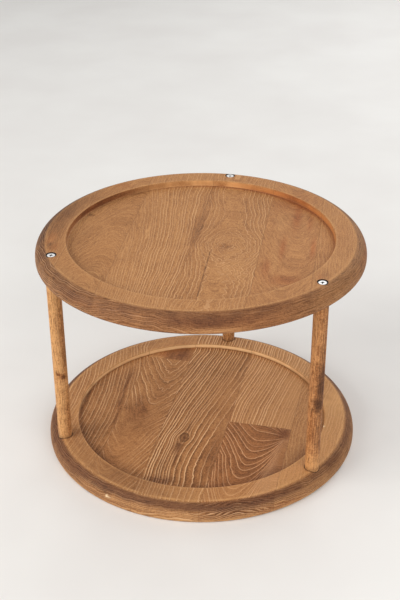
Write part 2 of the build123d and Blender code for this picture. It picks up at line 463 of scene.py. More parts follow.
def hole_cutters(tier):
    """Sockets in the face towards the other tray, and countersunk screw holes through to the far face."""
    # half section of a hole that runs up from its socket
    outline = [
        (0.0, -BEYOND),
        (SOCKET_RADIUS, -BEYOND),
        (SOCKET_RADIUS, SOCKET_DEPTH),
        (SCREW_HOLE_RADIUS, SOCKET_DEPTH),
        (SCREW_HOLE_RADIUS, TRAY_THICKNESS - HEAD_SEAT_DEPTH),
        (HEAD_SEAT_RADIUS + BEYOND, TRAY_THICKNESS + BEYOND),
        (0.0, TRAY_THICKNESS + BEYOND),
    ]
    joined = bmesh.new()
    for place in POST_PLACES.values():
        hole = turned(outline, ROUND_STEPS)
        for vert in hole.verts:
            z = vert.co.z if tier == "upper" else TRAY_THICKNESS - vert.co.z
            vert.co = (vert.co.x + place.x, vert.co.y + place.y, z + TRAY_BASE[tier])
        bmesh.ops.recalc_face_normals(hole, faces=hole.faces)
        part = mesh_of(hole, "hole")
        joined.from_mesh(part)
        bpy.data.meshes.remove(part)
    return mesh_of(joined, "holes")


def across_along(x, y, tier):
    """Place across and along a tray's staves."""
    c, s = math.cos(STAVE_LEAN[tier]), math.sin(STAVE_LEAN[tier])
    return x * c + y * s, y * c - x * s


def halved(bm, place, normal):
    """Keeps what lies against the normal's direction and closes the cut."""
    geometry = bm.verts[:] + bm.edges[:] + bm.faces[:]
    bmesh.ops.bisect_plane(bm, geom=geometry, plane_co=place, plane_no=normal, clear_outer=True)
    rim = [edge for edge in bm.edges if edge.is_boundary]
    bmesh.ops.holes_fill(bm, edges=rim, sides=0)


def stave_mesh(tray, name, lean, across, along):
    """The part of a tray mesh between two seams and, where given, two end joints."""
    bm = bmesh.new()
    bm.from_mesh(tray)
    side = Vector((math.cos(lean), math.sin(lean), 0.0))
    end = Vector((-math.sin(lean), math.cos(lean), 0.0))
    for (low, high), direction in ((across, side), (along, end)):
        if low is not None:
            halved(bm, direction * low, -direction)
        if high is not None:
            halved(bm, direction * high, direction)
    bmesh.ops.remove_doubles(bm, verts=bm.verts, dist=WELD)
    bmesh.ops.dissolve_degenerate(bm, edges=bm.edges, dist=WELD)
    return mesh_of(bm, name)


# Curves

def through(points, at):
    """A curve of at most the third degree, through or near the given points."""
    known, values = zip(*points)
    factors = np.polyfit(known, values, min(3, len(points) - 1))
    return np.polyval(factors, np.clip(at, min(known), max(known)))


def rise(value, start, length):
    """0 up to start, then up to 1 over the length."""
    return np.clip((value - start) / length, 0.0, 1.0)


def fall(value, end, length):
    """1 until the length before end, then down to 0 there."""
    return np.clip((end - value) / length, 0.0, 1.0)


def bell(distance, width):
    return np.exp(-((distance / width) ** 2))


def patch(across, along, width, length, power=2.5):
    """1 in the middle of an oval patch, falling to 0 outside it."""
    return np.exp(-(np.abs(across / width) ** power) - np.abs(along / length) ** power)


def blotted(rows, across, along, *layers, cover=1.0):
    """Layers changed in oval patches. A row gives a patch's place, size and change of each layer."""
    for middle_across, middle_along, width, length, *changes in rows:
        near = cover * patch(across - middle_across, along - middle_along, width, length)
        layers = [layer + change * near for layer, change in zip(layers, changes)]
    return layers


def bent_wave(place, aside, length, bend, bend_length):
    """A wave along place, bent by a second wave aside."""
    return np.sin(place / length + bend * np.sin(aside / bend_length))


# Wood figure
RING_TILT = math.radians(35.0)  # how far the rings lie over from upright
SWAY_LENGTHS = (150.0, 85.0, 46.0, 24.0, 11.0)
SWAY_REFERENCE = 85.0
SWAY_POWER = 0.8
SWAY_BEND, SWAY_BEND_LENGTH = 1.2, 17.0
SPACING_WAVES = (3.1, 7.3)  # in lines
SPACING_CHANGE = 0.16
FAN_LENGTH = 100.0
DENSITY_STEP = 0.4
DENSITY_RANGE = (0.08, 0.8)
SEED_SHIFT = 31.0  # moves each board's texture along the grain
# a knot's rings, in its own size: place, width, tone
KNOT_RINGS = ((0.0, 0.30, -0.32), (0.60, 0.20, 0.16), (1.02, 0.20, -0.46), (1.42, 0.20, 0.50))
KNOT_LINE, KNOT_LINE_CONTRAST = 1.40, 0.5
KNOT_GREYING = 0.3
KNOT_REACH = (2.4, 1.6)  # how far lines bend round a knot, across and along it
KNOT_PUSH = 0.75
KNOT_STAIN = 0.85
PULL_LIMIT = 0.93  # how near to a side knot its legs are followed
PULL_POWER = 1.8


@dataclass
class Board:
    """A board's growth lines, in millimetres across (u), along (v) and up (w) from the tray's underside."""

    path: tuple  # (v, u) places along one line, or along the middle of the arches
    pitch: float  # the lines' spacing across the face
    contrast: float
    seed: int
    tone: float = 0.0
    red: float = 0.0
    sway: float = 0.5
    fan: float = 0.0  # how far the lines spread in 100 mm towards +v
    arch: tuple = ()  # step between tips, above 0 if they point to -v, their softness, spacing left and right
    pull: tuple = ()  # (u, v, spread) of a side knot that right legs run into and left legs spread above
    eye: tuple = ()  # (v, depth, height, length) of closed rings about the path
    opening: float = 0.0  # how far right of the path the spacing doubles
    flank: tuple = ()  # places along a line to the left, and the count of lines up to it
    crack: tuple = ()  # (u, lean, v start, v end)
    knots: tuple = ()  # (u, v, width, length)
    ragged: tuple = ()  # (strength, u, v, width, length), where lines tear
    blots: tuple = ()  # (u, v, width, length, tone, redness, contrast)
    stains: tuple = ()  # (u, v, width, length, strength), grey

    def rings(self, u, v, w):
        """Count of growth lines from the path to each point."""
        draw = np.random.RandomState(self.seed)
        du = self.off_path(u, v, draw)
        sunk = (w - TRAY_THICKNESS) * math.tan(RING_TILT)
        if self.arch:
            count = self.arches(du, v) - sunk / self.pitch
        elif self.eye:
            count = self.closed_rings(du, v, w)
        else:
            count = (self.spread(du, v) + sunk) / self.pitch
        for length in SPACING_WAVES:
            count = count + SPACING_CHANGE * np.sin(TURN * count / length + draw.uniform(0.0, 6.0))
        jagged = bent_wave(v, u, length=1.9, bend=2.0, bend_length=3.1)
        jagged = jagged * bent_wave(u, v, length=2.3, bend=1.5, bend_length=4.7)
        for strength, ru, rv, width, length in self.ragged:
            count = count + strength * patch(u - ru, v - rv, width, length, power=2) * jagged
        return count

    def off_path(self, u, v, draw):
        """Distance across from the path, which sways, with the lines pushed aside at knots."""
        du = u - through(self.path, v)
        for length in SWAY_LENGTHS:
            shift = draw.uniform(0.0, TURN, 2)
            bend = SWAY_BEND * np.sin(u / SWAY_BEND_LENGTH + shift[1])
            wave = np.sin(TURN * v / length + shift[0] + bend)
            du = du + self.sway * (length / SWAY_REFERENCE) ** SWAY_POWER * wave
        for ku, kv, width, length in self.knots:
            near = patch(u - ku, v - kv, KNOT_REACH[0] * width, KNOT_REACH[1] * length, power=2)
            du = du - KNOT_PUSH * (u - ku) * near
        return du

    def arches(self, du, v):
        """Count of lines where they arch over the path."""
        step, soft, left, right = self.arch
        leg = np.hypot(du, soft) - soft
        if not self.pull:
            return leg / np.where(du < 0, left, right) - v / step
        knot_u, knot_v, spread = self.pull
        left = left * (1 + spread * rise(v - knot_v, start=-40.0, length=50.0))
        drawn = np.clip(du / (knot_u - through(self.path, v)), 0.0, PULL_LIMIT) ** PULL_POWER
        tip = knot_v + (v - knot_v) / (1 - drawn)
        return np.where(du < 0, leg / left, 0.0) - tip / step

    def closed_rings(self, du, v, w):
        """Count of lines where they close round a dome under the path."""
        middle, depth, height, length = self.eye
        dome = depth + height * (1 - bell(v - middle, length))
        return np.hypot(du, dome + TRAY_THICKNESS - w) / self.pitch

    def spread(self, du, v):
        """Distance across from the path where the lines run side by side, drawn to an even spacing."""
        if self.flank:
            side_path, between = self.flank
            apart = through(self.path, v) - through(side_path, v)
            du = np.where(du < 0, du * between * self.pitch / apart, du)
        if self.opening:
            du = np.where(du > 0, self.opening * np.log1p(np.maximum(du, 0.0) / self.opening), du)
        return du * (1 - self.fan * v / FAN_LENGTH)

    def density(self, u, v, w):
        """Growth lines to the millimetre on the face."""
        d = DENSITY_STEP
        across = (self.rings(u + d, v, w) - self.rings(u - d, v, w)) / (2 * d)
        along = (self.rings(u, v + d, w) - self.rings(u, v - d, w)) / (2 * d)
        return np.clip(np.hypot(across, along), *DENSITY_RANGE)

    def crack_distance(self, u, v):
        """Distance across to the crack, and far away where there is none."""
        if not self.crack:
            return np.full(len(u), FAR)
        middle, lean, start, end = self.crack
        return np.where((v > start) & (v < end), u - middle - lean * (v - start), FAR)

    def looks(self, u, v):
        """Tone, redness and line contrast at each point."""
        plain = (np.full(len(u), value) for value in (self.tone, self.red, self.contrast))
        tone, red, contrast = blotted(self.blots, u, v, *plain)
        for ku, kv, width, length in self.knots:
            reach = np.hypot((u - ku) / width, (v - kv) / length)
            for place, ring_width, change in KNOT_RINGS:
                tone = tone + change * bell(reach - place, ring_width)
            inside = fall(reach, end=1.25, length=0.45)
            red = red - KNOT_GREYING * inside
            contrast = contrast * (1 - inside) + KNOT_LINE_CONTRAST * bell(reach - KNOT_LINE, width=0.2)
        return tone, np.clip(red, 0.0, 1.0), np.clip(contrast, 0.0, 1.0)

    def soaked(self, u, v):
        """How far grey stain has soaked in at each point of the face."""
        stain_and_shade = np.zeros(len(u))
        for su, sv, width, length, strength in self.stains:
            stain_and_shade = np.maximum(stain_and_shade, strength * patch(u - su, v - sv, width, length))
        for ku, kv, width, length in self.knots:
            reach = np.hypot((u - ku) / width, (v - kv) / length)
            stain_and_shade = np.maximum(stain_and_shade, KNOT_STAIN * bell(reach, width=1.10))
        return stain_and_shade


BOARDS = {
    "upper_tray_stave_1": Board(
        ((-90, -122), (90, -126)), 2.6, contrast=0.36, tone=-0.14, seed=11,
        blots=(
            # the patch at -119 is painted light on the floor along the left recess wall, against the wall's
            # shadow
            (-134, -10, 11, 60, -0.26, 0, 0), (-119, 0, 5, 52, 0.42, 0, -0.3),
            (-131, -29, 4, 10, 0.55, 1.2, 0), (-124, -46, 4, 7, 0.05, 0.9, 0),
        ),
        stains=((-129.2, -41, 2.6, 4.4, 0.65), (-127, -48, 3, 3, 0.4)),
    ),
    "upper_tray_stave_2": Board(
        ((-110, -84), (0, -80), (100, -72)), 3.6, contrast=0.15, tone=0.04, sway=0.9, seed=12,
        arch=(-12, 14, 3.3, 3.8),
        blots=(
            (-111, 36, 3.6, 2.2, -0.45, 0, 0), (-90, 70, 26, 45, -0.02, 0, -0.08),
            # the patch at -112 is painted light on the floor along the left recess wall, against the wall's
            # shadow
            (-93, 96, 9, 6, 0.02, 0.9, 0), (-112, -10, 5, 40, 0.14, 0, 0),
        ),
        stains=((-108, -5, 6, 28, 0.16), (-85, -70, 5, 6, 0.22), (-72, -84, 4, 4, 0.2)),
    ),
    "upper_tray_stave_3": Board(
        ((-100, -22), (-50, -22), (0, -24), (50, -28.5), (100, -34)), 2.8, contrast=0.58, tone=0.14,
        sway=0.35, seed=13, fan=0.2,
        blots=(
            (-70, 0, 24, 150, -0.03, 0, -0.36), (-51.3, 12, 1.1, 7, 0.6, 0, 0.2),
            (-49.6, 0, 1, 6, 0.4, 0, 0.1), (-7.5, 30, 4.5, 75, -0.22, 0.1, -0.35),
        ),
        stains=((-6.5, 22, 4, 34, 0.22),),
    ),
    "upper_tray_stave_4": Board(
        ((-100, 24), (-8, 26), (100, 18)), 2.8, contrast=0.54, tone=0.1, sway=0.8, seed=14,
        eye=(-10, 1, 15, 24), crack=(13.6, -0.02, -106, -22),
        ragged=((0.62, 26, -4, 22, 28), (0.75, 35, -54, 18, 34)),
        blots=(
            (34, -56, 16, 34, 0.1, -0.1, -0.08), (24, -11, 6, 6, -0.26, 0.1, 0),
            (25, -8, 26, 34, 0, 0, -0.18), (21, -21, 5, 9, -0.1, 0.1, 0),
            (-5.5, 30, 4.5, 70, -0.24, 0.1, -0.2), (16, 62, 14, 46, 0.02, 0.05, -0.26),
        ),
        stains=((-6.5, 22, 4, 34, 0.22),),
    ),
    "upper_tray_stave_5": Board(
        ((-100, 84), (0, 86), (100, 80)), 4.5, contrast=0.12, tone=0.09, red=0.12, sway=1.2, seed=15,
        arch=(16, 12, 4.5, 4),
        blots=(
            (82, -67, 14, 9, -0.08, 0.5, 0), (64, -46, 4, 16, -0.03, 0.5, 0),
            (75, -6, 2.5, 20, -0.05, 0.7, 0), (102, -3, 2.2, 18, 0.05, 0.9, 0),
            (83, 60, 3.6, 26, -0.08, 0.65, 0), (96, 50, 2.4, 18, -0.04, 0.5, 0),
            (70, 46, 6, 24, 0.1, -0.1, 0), (70, -32, 4, 20, 0.08, -0.1, 0), (92, -20, 5, 40, 0.05, 0, 0),
            (80, 90, 20, 16, -0.1, 0.4, 0),
        ),
    ),
    "upper_tray_stave_6": Board(
        ((-90, 118), (90, 114)), 2.6, contrast=0.24, tone=0.07, seed=16,
        blots=((112, -68, 3, 5, 0.1, 0.9, 0), (126, 20, 6, 30, 0, 0.3, 0), (114, 6, 9, 44, 0.12, 0.15, 0)),
        stains=((116, -63, 3, 3, 0.3),),
    ),
    "lower_tray_stave_1": Board(
        ((-110, -84), (-80, -81), (-45, -77), (20, -79), (60, -87), (100, -96)), 3.9, contrast=0.52,
        tone=-0.02, sway=0.3, seed=21,
        blots=(
            (-132, 10, 12, 56, -0.45, 0, 0.05), (-87, 34, 1.3, 22, -0.45, 0.3, -0.3),
            (-84.5, 0, 1.2, 18, -0.4, 0.3, -0.3), (-81, -22, 1.2, 20, -0.4, 0.3, -0.3),
        ),
        stains=(
            (-97, -48, 10, 14, 0.34), (-88, -75, 8, 9, 0.28), (-110, -60, 6, 8, 0.28),
            (-102, 0, 20, 80, 0.16),
        ),
    ),
    "lower_tray_stave_2_front": Board(
        ((-40, -64), (-18, -58), (3, -50), (32, -47), (61, -49), (90, -50)), 3.4, contrast=0.66, tone=0.05,
        sway=0.5, seed=22, arch=(12.5, 6, 5.6, 4.4),
        ragged=((0.22, -50, 40, 20, 45),),
        blots=(
            (-57, -8, 5, 11, -0.3, 0.15, -0.2), (-68, -8, 8, 20, -0.1, 0.1, -0.3),
            (-60, -24, 24, 28, -0.03, 0.05, -0.34), (-62, -70, 15, 46, 0, 0, -0.4),
            (-41, -5, 8, 22, 0, 0, -0.3), (-48, 20, 8, 8, -0.08, 0, -0.4), (-58, 45, 6, 8, -0.1, 0, -0.3),
            (-54, -70, 30, 50, 0.05, 0.05, -0.26), (-55, -122, 30, 18, -0.1, 0, -0.05),
        ),
        stains=((-68, -6, 8, 20, 0.2), (-62, -21, 12, 18, 0.22)),
    ),
    "lower_tray_stave_2_back": Board(
        ((89, -55), (140, -50)), 4.0, contrast=0.25, tone=0.1, red=0.1, seed=23,
        blots=(
            (-47, 104, 13, 22, -0.22, 0.36, -0.2), (-63, 97, 6, 6, -0.02, 0.4, 0),
            (-70, 90.5, 8, 2, 0.2, -0.1, 0),
        ),
        stains=((-53, 103, 8, 22, 0.58), (-44, 103, 8.5, 22, 0.82)),
    ),
    "lower_tray_stave_3": Board(
        ((-110, -9), (-75, -8.5), (-44, -7.4), (-15, -4), (20, 4.5), (60, 13), (110, 19)), 3.0,
        contrast=0.88, tone=0.05, sway=0.3, seed=24, opening=17.0,
        flank=(((-110, -34), (-44, -33), (20, -25), (110, -9)), 9),
        knots=((-7.4, -43.6, 3.8, 6.4),),
        blots=(
            (-9.2, -58, 4, 10, -0.18, 0.05, -0.7), (-8, -79, 1.3, 11, -0.7, 0.2, -0.6),
            (-6.7, -27, 1.3, 9, -0.4, 0.15, -0.3), (22, 22, 14, 54, 0.05, 0.06, -0.42),
            (20, -76, 14, 44, -0.14, 0.12, 0), (26.5, -66, 5, 44, -0.04, 0.05, -0.75),
        ),
        stains=(
            (-9.5, -58, 4, 12, 0.6), (-18, -90, 6, 12, 0.3), (-14, -112, 18, 9, 0.85),
            (25, -66, 6, 42, 0.32),
        ),
    ),
    "lower_tray_stave_4_front": Board(
        ((-110, 53), (-86, 57), (-65, 59.5), (-46, 60.5), (-9, 63)), 4.0, contrast=0.6, tone=-0.14, red=0.36,
        sway=0.4, seed=25, arch=(10.6, 16, 2.8, 4.7), pull=(88, -23, 0.9),
        blots=((85.5, -17, 6.5, 9, -0.34, 0.35, -0.5), (89, -55, 4.5, 30, 0.1, -0.1, -0.5)),
    ),
    "lower_tray_stave_4_back": Board(
        ((-9, 48), (30, 51), (70, 57), (110, 64)), 3.1, contrast=0.84, tone=0.36, red=0.08, sway=0.3,
        seed=26,
        blots=((88, 40, 18, 90, 0.05, 0, -0.55),),
    ),
    "lower_tray_stave_5": Board(
        ((-100, 108), (0, 104), (100, 112)), 3.3, contrast=0.28, tone=0.16, sway=0.8, seed=27,
        blots=((127, 38, 12, 22, 0.7, 0, 0),),
    ),
}

# Tray finish on the round edge, with a painted shadow along the upper tray's foot
FRONT_TURN = math.radians(12.6)  # the stand's front, towards the camera, round from -Y towards +X
FRONT = (math.sin(FRONT_TURN), -math.cos(FRONT_TURN))
EDGE_START = tiers(-0.2, 1.0)  # from the rim's outer edge outwards
EDGE_BAND = tiers(0.78, 1.24)  # stain just below the rim
EDGE_SIDES = tiers(0.66, 0.72)  # stain below that band
EDGE_FRONT = tiers(0.62, 0.03)
EDGE_RIGHT_CLEARING = tiers(0.40, 0.22)
# painted shadow along the foot of the round edge, under the tray
EDGE_FOOT_SHADE = tiers(0.9, 0.0)
EDGE_FOOT_WEAR = tiers(0.0, 0.65)
EDGE_FRONT_RED = tiers(0.30, 0.0)
EDGE_EVENNESS = 0.65
EDGE_LINE_PITCH = 2.3
EDGE_LINES = tiers((0.95, 0.64, 0.28, 0.30), (0.45, 0.42, 0.52, 0.28))
EDGE_LINE_STATIONS = (-1.0, -0.2, 0.35, 1.0)  # from the left to the right
EDGE_WAVES = ((3, 0.9), (7, 0.6), (17, 0.35), (41, 0.22), (67, 0.15))  # waves round the tray, size
EDGE_WAVE_SHIFT = 1.7
EDGE_BOW, EDGE_BOW_LENGTH = 0.03, 40.0  # how the lines sink away from the front
EDGE_SPACING_WAVES = ((2.3, 0.16), (5.1, 0.35))  # length in lines, size
# swells of the lines: place round from the front, width, rise
EDGE_SWELLS = tiers(((-20.0, 26.0, -1.6), (70.0, 40.0, 1.4)), ((66.0, 27.0, -4.6), (-30.0, 30.0, 1.2)))
# patches: place round from the front and up, width, height, tone, redness, stain, line contrast
EDGE_BLOTS = tiers(
    (
        (38, 10, 36, 3.6, -0.1, 0.3, 0.25, -0.1), (45, 3.2, 24, 2.4, 0.3, -0.1, -0.4, 0.3),
        (82, 8, 26, 6, 0.1, 0.15, -0.12, -0.1), (-16, 5, 24, 4, 0.02, 0, 0.02, 0.2),
        (-84, 9, 26, 4, -0.1, 0.2, 0.1, 0), (-190, 8, 40, 7, 0.16, -0.1, -0.1, 0.2),
    ),
    (
        (66, 9.4, 32, 3.6, 0, 0.05, 0.52, 0.5), (-60, 3, 22, 3, 0, 0.3, 0.15, 0),
        (110, 4, 20, 4, -0.05, 0.4, 0.1, 0), (10, 3, 24, 2.4, 0.12, 0, 0, 0.3),
    ),
)
# chips: place sideways, onwards and up, size
CHIPS = tiers((), ((121.6, -3.4, 16.2, 1.7), (-56.6, -138.3, 8.0, 1.6), (-54.6, -139.1, 7.7, 1.3)))

# Tray finish on the rim, in the recess and underneath, with painted light and shade on the recess walls,
# corners and hole gaps
FACE_REACH = 0.3  # what lies this near to a face belongs to it
RIM_TONE = tiers(0.08, 0.30)
RIM_EVENNESS = 0.6
RIM_STAIN = tiers(1.0, 0.42)
RIM_LINES = tiers((0.60, 0.60), (0.66, 1.20))
RIM_LINE_STATIONS = (-40.0, 40.0)  # from the front to the back
RIM_WEAR = tiers(0.30, 0.60)
LIP_WEAR = 0.35
WALL_LINES = 0.12
# painted light on the recess walls: warm bounce light on the upper tray, a highlight on the lower
WALL_LIGHT_STRENGTH = tiers(0.95, 1.30)
WALL_LIGHT_SIDE = (0.57, 0.82)  # where the painted warm light on the upper tray's recess wall is strongest
# stain with painted shade on the recess floor along its front, and painted shade in the recess corner
FLOOR_EDGE_STAIN_AND_SHADE = tiers(0.12, 0.75)
FLOOR_EDGE_WIDTH = 12.0
CORNER_SHADE = 0.9
UNDERSIDE_STAIN = 0.35
# a dark ring round holes: stain with painted shade
HOLE_STAIN_AND_SHADE = 0.8
# how far distances are drawn out round posts and screw heads, for a narrow painted shade in their gaps
SOCKET_GAP = 2.0
SEAT_GAP = 3.0

# Stretches of walls, rims and edges: degrees round from +X, spread in degrees, strength
# the next two tables: painted shade on stretches of the recess walls, reddened where deepest
WALL_DEEP_SHADE = tiers(((55.5, 9.0, 1.0),), ())
WALL_SHADE = tiers(((160.0, 27.0, 1.0),), ((195.0, 18.0, 0.6),))
# painted highlight on stretches of the recess walls
WALL_HIGHLIGHT = tiers(((101.0, 24.0, 1.3),), ((118.0, 42.0, 1.0),))
RIM_DARK_LIP = tiers(
    ((170.0, 22.0, 0.27),),
    ((250.0, 26.0, 0.58), (224.0, 22.0, 0.38), (130.0, 40.0, 0.13)),
)
RIM_DARK_EDGE = tiers(
    ((172.0, 21.0, 0.95), (230.0, 25.0, 0.26)),
    ((250.0, 26.0, 0.62), (224.0, 22.0, 0.42), (130.0, 40.0, 0.42)),
)
RIM_PALE = tiers((), ((17.0, 10.0, 0.6),))
EDGE_DARK = tiers(((170.0, 30.0, 0.45),), ())


class TrayFinishAndShading:
    """Where stain has soaked in, edges have worn pale and marks lie, and where light and shade are painted,
    on a tray's vertices.
    """

    def __init__(self, places, tier):
        self.tier = tier
        self.x, self.y = places[:, 0], places[:, 1]
        self.z = places[:, 2] - TRAY_BASE[tier]
        self.r = np.hypot(self.x, self.y)
        self.around = np.degrees(np.arctan2(self.y, self.x))
        self.rightward = self.x / np.maximum(self.r, 1.0)
        self.facing = (self.x * FRONT[0] + self.y * FRONT[1]) / np.maximum(self.r, 1.0)
        self.front = rise(self.facing, start=0.60, length=0.30)
        self.underside = self.z <= 0.01
        self.side = rise(self.r - RIM_EDGE, start=EDGE_START[tier], length=2.0) * ~self.underside
        self.top = self.z > TRAY_THICKNESS - FACE_REACH
        self.rim = self.top * (self.r > RECESS_RADIUS) * (1.0 - self.side)
        # from the recess wall outwards, and from the recess floor up
        self.out = self.r - RECESS_RADIUS
        self.up = self.z - (TRAY_THICKNESS - RECESS_DEPTH[tier])
        self.wall = bell(self.out, width=0.5) * (self.up > 0.4) * (self.z < TRAY_THICKNESS - 0.4)
        self.deep = self.wall * self.stretches(WALL_DEEP_SHADE)
        self.shade = self.wall * self.stretches(WALL_SHADE)
        self.wall_highlight = self.wall * self.stretches(WALL_HIGHLIGHT)
        self.hole = self.hole_gap()
        self.bare, self.foot = self.upper_wall_light() if tier == "upper" else self.lower_wall_light()

    def stretches(self, rows):
        """How far each vertex lies in any of its tray's stretches."""
        found = np.zeros(len(self.around))
        for place, spread, strength in rows[self.tier]:
            turn = (self.around - place + 180.0) % 360.0 - 180.0
            found = np.maximum(found, strength * bell(turn, spread))
        return found

    def hole_gap(self):
        """Distance to the nearest hole's mouth, drawn out for a narrower painted shade in the gap round a
        post or head.
        """
        mouth = np.where(self.z > TRAY_THICKNESS / 2, HOLE_ABOVE[self.tier], HOLE_BELOW[self.tier])
        gap = np.full(len(self.x), FAR)
        for place in POST_PLACES.values():
            away = np.hypot(self.x - place.x, self.y - place.y) - mouth
            gap = np.minimum(gap, away * np.where(mouth == SOCKET_RADIUS, SOCKET_GAP, SEAT_GAP))
        return gap

    def upper_wall_light(self):
        """Painted warm bounce light on one side of the recess wall, most at its foot, and painted reddish
        shade on the floor along that foot.
        """
        toward = WALL_LIGHT_SIDE[0] * self.x / RECESS_RADIUS + WALL_LIGHT_SIDE[1] * self.y / RECESS_RADIUS
        toward = np.clip(toward, 0.0, 1.0) ** 2.5
        bare = self.wall * fall(self.up, end=8.0, length=5.0) * toward
        foot = bell(np.minimum(self.out, 0.0), width=2.6) * (self.up < 1.6) * toward
        return bare * (1.0 - 0.70 * self.deep - 0.50 * self.wall_highlight), foot

    def lower_wall_light(self):
        """A painted highlight on the back and left of the recess wall, least at its foot, and nothing on the
        floor.
        """
        toward = np.clip(0.45 + 0.8 * (self.y - 0.6 * self.x) / RECESS_RADIUS, 0.0, 1.0)
        high = np.maximum(rise(self.up, start=0.5, length=1.1), 0.15)
        bare = self.wall * toward * (1.0 - self.shade) * high
        return bare * (1.0 + 0.5 * self.wall_highlight), np.zeros(len(self.x))

    def edge_stain_and_foot_shade(self):
        """Stain on the round edge, most in a band below the rim and less to the right, and a painted shadow
        along the upper tray's foot.
        """
        tier = self.tier
        band = rise(self.z, start=9.5, length=3.6)
        low_share = 0.7 + 0.3 * rise(self.z, start=3.0, length=7.0)
        right = rise(self.rightward, start=0.55, length=0.30)
        foot = fall(self.z, end=1.5, length=0.8)
        below = (EDGE_SIDES[tier] * (1.0 - self.front) + EDGE_FRONT[tier] * self.front) * low_share
        stain = (below + (EDGE_BAND[tier] - below) * band) * (1.0 - EDGE_RIGHT_CLEARING[tier] * right)
        stain = stain + self.stretches(EDGE_DARK)
        return self.side * np.maximum(stain, EDGE_FOOT_SHADE[tier] * foot)

    def rim_stain(self):
        """On the rim, from its lip outwards."""
        lip, edge = self.stretches(RIM_DARK_LIP), self.stretches(RIM_DARK_EDGE)
        return self.rim * (lip + (edge - lip) * rise(self.r, RECESS_RADIUS, RIM_EDGE - RECESS_RADIUS))

    def recess_shade_and_stain(self):
        """Painted shade in the corner at the foot of the recess wall, less on the left, and stain with
        painted shade along the floor's front.
        """
        left = rise(-self.x, start=0.0, length=RECESS_RADIUS)
        corner = bell(self.out, width=1.2) * bell(self.up, width=0.6) * (1.0 - 0.8 * left)
        near_wall = bell(np.minimum(self.out, 0.0), FLOOR_EDGE_WIDTH) * bell(self.up, FACE_REACH)
        along_front = near_wall * rise(self.facing, start=0.0, length=0.5)
        return np.maximum(CORNER_SHADE * corner, FLOOR_EDGE_STAIN_AND_SHADE[self.tier] * along_front)

    def wall_marks(self, foot, shade, deep):
        """The strongest painted shade along the recess wall, at its foot, in shade and where deepest, each
        times its strength.
        """
        return np.maximum.reduce((foot * self.foot, shade * self.shade, deep * self.deep))

    def stain_and_shade(self):
        """How far stain has soaked in, with painted shade in the recess corner, round holes, along the upper
        tray's foot and on the recess walls.
        """
        holes = HOLE_STAIN_AND_SHADE * bell(np.maximum(self.hole, 0.0), width=1.2)
        wall = self.wall_marks(foot=0.7, shade=0.8, deep=0.12)
        faces = (self.edge_stain_and_foot_shade(), self.rim_stain(), self.recess_shade_and_stain(), UNDERSIDE_STAIN * self.underside)
        return np.maximum.reduce((*faces, holes, wall))

    def wear_and_highlight(self):
        """How far edges have worn pale, with a painted highlight on the recess walls."""
        edge = RIM_WEAR[self.tier] * bell(self.r - RIM_EDGE + 0.4, width=1.2) * self.top
        lip = LIP_WEAR * bell(self.out - 0.8, width=0.9) * self.top
        outside = self.r > TRAY_RADIUS - BOTTOM_ROUND
        foot = EDGE_FOOT_WEAR[self.tier] * bell(self.z - 1.6, width=1.6) * outside
        return np.maximum.reduce((edge, lip, foot, self.wall_highlight, self.rim * self.stretches(RIM_PALE)))

    def flush(self):
        """How far the wood has reddened at the front of the edge, with painted warm shade along the recess
        walls.
        """
        wall = self.wall_marks(foot=0.9, shade=0.9, deep=1.1)
        return EDGE_FRONT_RED[self.tier] * self.front * self.side + wall

    def chips(self):
        """Where the edge has chipped down to pale wood."""
        found = np.zeros(len(self.x))
        for cx, cy, cz, size in CHIPS[self.tier]:
            apart = np.sqrt((self.x - cx) ** 2 + (self.y - cy) ** 2 + (self.z - cz) ** 2)
            found = np.maximum(found, fall(apart, size, size / 2))
        return found

    def edge_rings(self):
        """Growth lines on the round edge, where they run nearly level, and places round it from the front."""
        angle = np.arctan2(self.x, -self.y)
        turn = TRAY_RADIUS * angle
        count = (self.z - self.r) / EDGE_LINE_PITCH + EDGE_BOW * np.hypot(turn, EDGE_BOW_LENGTH)
        for waves, size in EDGE_WAVES:
            count = count + size * np.sin(waves * angle + EDGE_WAVE_SHIFT * waves)
        for length, size in EDGE_SPACING_WAVES:
            count = count + size * np.sin(TURN * count / length)
        for middle, width, swell in EDGE_SWELLS[self.tier]:
            count = count + swell * bell(turn - middle, width)
        return count, turn


# Pieces

def vertex_places(mesh):
    places = np.empty(len(mesh.vertices) * 3, dtype=np.float32)
    mesh.vertices.foreach_get("co", places)
    return places.reshape(-1, 3).astype(float)


def write_wood(mesh, **layers):
    """Stores vectors on each vertex for the wood material, each layer from its three columns."""
    for name, columns in layers.items():
        layer = mesh.attributes.new(name, "FLOAT_VECTOR", "POINT")
        layer.data.foreach_set("vector", np.stack(columns, axis=1).astype(np.float32).ravel())


def finish_mesh(mesh):
    """Millimetres to metres, smooth shading, sharp corners kept."""
    mesh.transform(Matrix.Scale(MM, 4))
    mesh.shade_smooth()
    mesh.set_sharp_from_angle(angle=SHARP_ANGLE)


